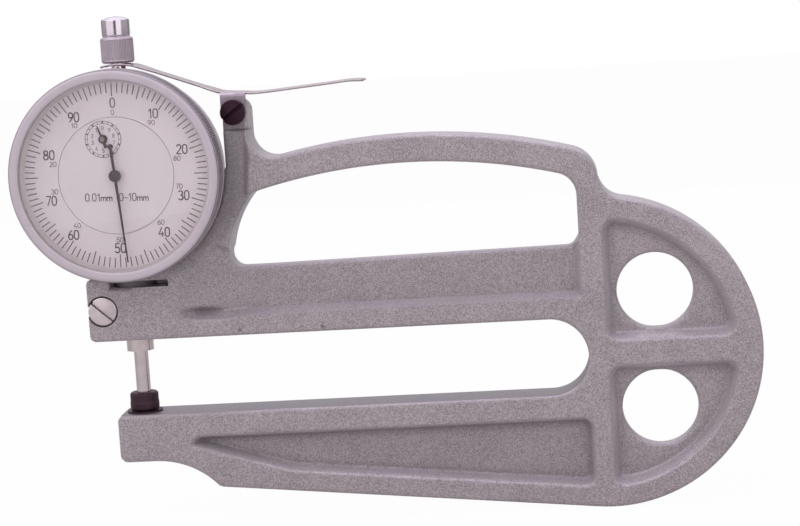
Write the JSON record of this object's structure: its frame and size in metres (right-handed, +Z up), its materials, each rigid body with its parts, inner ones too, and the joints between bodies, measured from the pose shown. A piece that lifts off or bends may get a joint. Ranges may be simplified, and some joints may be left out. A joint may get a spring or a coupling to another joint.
{
  "type": "dial thickness gauge",
  "caption": "deep-throat thickness gauge: a cast bow with an anvil jaw, a dial indicator clamped over it, and a thumb lever that lifts the spring-loaded plunger",
  "frame": {"origin": "middle of the anvil's face, on the plunger's axis", "axes": "+X along the throat to its closed end, +Z up the plunger, the dial faces -Y"},
  "size_m": [0.1935, 0.0269, 0.1366],
  "materials": {
    "casting": "hammertone silver-grey paint over cast aluminium",
    "dark_steel": "hardened and blackened",
    "nickel": "nickel plated",
    "bright_steel": "ground bright",
    "cap": "polished chrome",
    "satin_chrome": "satin chrome",
    "crystal": "clear",
    "dial": "matte silver-white print ground",
    "hands": "black",
    "brass": "turned",
    "steel": "turned and blued where sprung"
  },
  "bodies": {
    "stand": {"frame": "casting", "anvil": "dark_steel", "clamp_screw": "nickel", "lever_pivot_screw": "dark_steel", "stem": "bright_steel", "lower_bush": "bright_steel", "case": "satin_chrome", "upper_bush": "bright_steel", "back_cover": "satin_chrome", "back_cover_screws": "nickel", "bridge_plate": "brass", "bridge_pillars": "brass", "bridge_screws": "steel", "guide_rail": "steel", "spring_post": "steel", "return_spring": "steel", "hairspring": "steel", "hairspring_stud": "brass", "centre_dial": "dial", "bezel_snap_ring": "steel"},
    "rim": {"bezel": "satin_chrome", "crystal": "crystal", "spacer_ring": "steel", "dial_ring": "dial"},
    "spindle": {"plunger": "bright_steel", "plunger_cap": "cap", "contact_point": "dark_steel", "guide_collar": "steel", "guide_pin": "steel"},
    "counter_arbor": {"rack_pinion": "steel", "transfer_gear": "brass", "counter_hand": "hands"},
    "centre_arbor": {"centre_pinion": "steel", "main_hand": "hands"},
    "take_up": {"take_up_gear": "brass", "take_up_arbor": "steel"},
    "lever": {"lift_lever": "bright_steel"}
  },
  "joints": [
    {"name": "plunger_slide", "type": "slide", "parent": "stand", "child": "spindle", "axis": [0, 0, 1], "range_m": [0, 0.01], "stiffness_N_per_m": 30, "springref_m": -0.045, "deforming": ["return_spring"]},
    {"name": "counter_spin", "type": "hinge", "parent": "stand", "child": "counter_arbor", "pos_m": [-0.00267, 0, 0.07424], "axis": [0, 1, 0], "range_deg": [-360.5, 0]},
    {"name": "centre_spin", "type": "hinge", "parent": "stand", "child": "centre_arbor", "pos_m": [0, 0, 0.0646], "axis": [0, 1, 0], "range_deg": [0, 3605]},
    {"name": "take_up_spin", "type": "hinge", "parent": "stand", "child": "take_up", "pos_m": [0.00783, 0, 0.05837], "axis": [0, 1, 0], "range_deg": [-360.5, 0], "deforming": ["hairspring"]},
    {"name": "lever_pivot", "type": "hinge", "parent": "stand", "child": "lever", "pos_m": [0.0308, 0, 0.0789], "axis": [0, 1, 0], "range_deg": [0, 17.3]},
    {"name": "bezel_turn", "type": "hinge", "parent": "stand", "child": "rim", "pos_m": [0, 0, 0.0646], "axis": [0, 1, 0], "continuous": true}
  ],
  "couplings": [
    {"joint": "counter_spin", "follows": "plunger_slide", "rad_per_m": -628.32},
    {"joint": "centre_spin", "follows": "plunger_slide", "rad_per_m": 6283.2},
    {"joint": "take_up_spin", "follows": "plunger_slide", "rad_per_m": -628.32},
    {"joint": "lever_pivot", "follows": "plunger_slide", "rad_per_m": 30}
  ]
}
